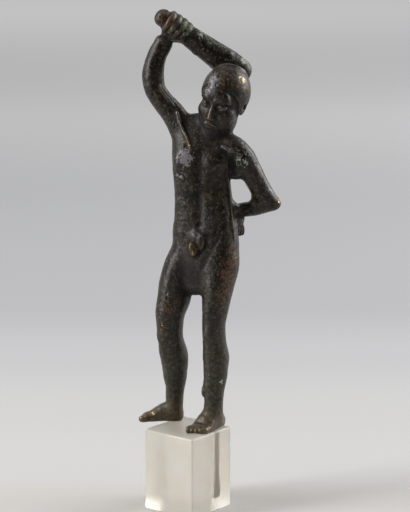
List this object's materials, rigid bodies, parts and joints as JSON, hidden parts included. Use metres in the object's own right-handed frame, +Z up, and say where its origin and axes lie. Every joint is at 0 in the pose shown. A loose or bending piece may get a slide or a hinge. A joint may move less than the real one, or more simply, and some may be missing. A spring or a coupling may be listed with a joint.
{
  "type": "cast bronze statuette on a display block",
  "caption": "Small cast bronze of a naked youth, the hero with a club raised behind his head and one hand on his hip, pinned to a clear square display block.",
  "frame": {"origin": "centre of the display block's underside, where the whole thing stands", "axes": "+Z up along the figure, -Y towards the viewer that the figure faces, +X to the figure's own left"},
  "size_m": [0.0344, 0.021, 0.121],
  "materials": {
    "bronze": "dark brown-black patina, satin, worn to a golden brown on the high spots",
    "pin_metal": "brown tarnished rod with old adhesive round its foot",
    "acrylic": "clear acrylic with satin sawn faces, slightly milky"
  },
  "bodies": {
    "root": {"bronze_figure": "bronze", "mounting_pin": "pin_metal", "acrylic_block": "acrylic"}
  },
  "joints": []
}
